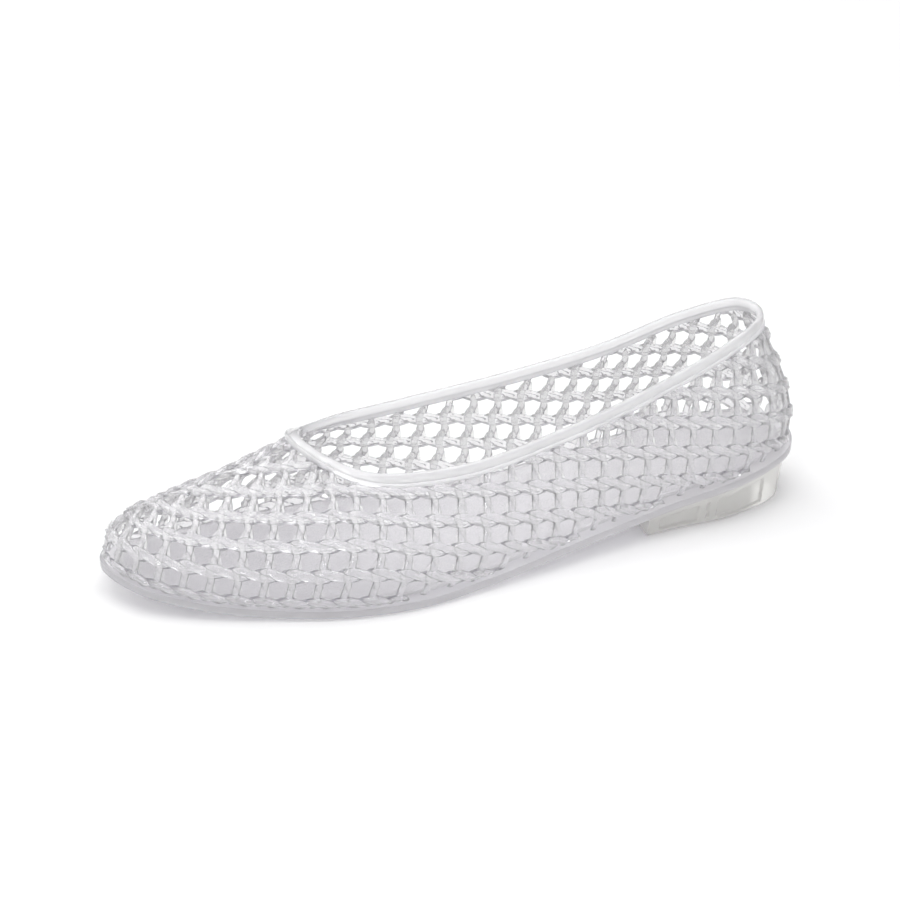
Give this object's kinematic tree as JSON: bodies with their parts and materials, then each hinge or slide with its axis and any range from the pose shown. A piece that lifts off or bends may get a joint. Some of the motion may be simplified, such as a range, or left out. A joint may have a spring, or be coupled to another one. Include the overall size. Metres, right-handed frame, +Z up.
{
  "type": "ballet flat",
  "caption": "Clear moulded plastic ballet flat with a woven lattice upper, almond toe, smooth collar band and low ribbed wedge heel.",
  "frame": {"origin": "on the floor under the middle of the shoe's outline in plan", "axes": "+X from the heel to the toe, +Y towards the outer side of the foot, +Z up"},
  "size_m": [0.2458, 0.083, 0.0663],
  "materials": {
    "clear_vinyl": "clear glossy moulded vinyl",
    "footbed_vinyl": "clear vinyl with a fine woven texture",
    "sole_vinyl": "clear glossy vinyl with a fine tread",
    "heel_vinyl": "milky clear glossy vinyl"
  },
  "bodies": {
    "root": {"upper": "clear_vinyl", "insole": "footbed_vinyl", "outsole": "sole_vinyl", "heel": "heel_vinyl"}
  },
  "joints": []
}
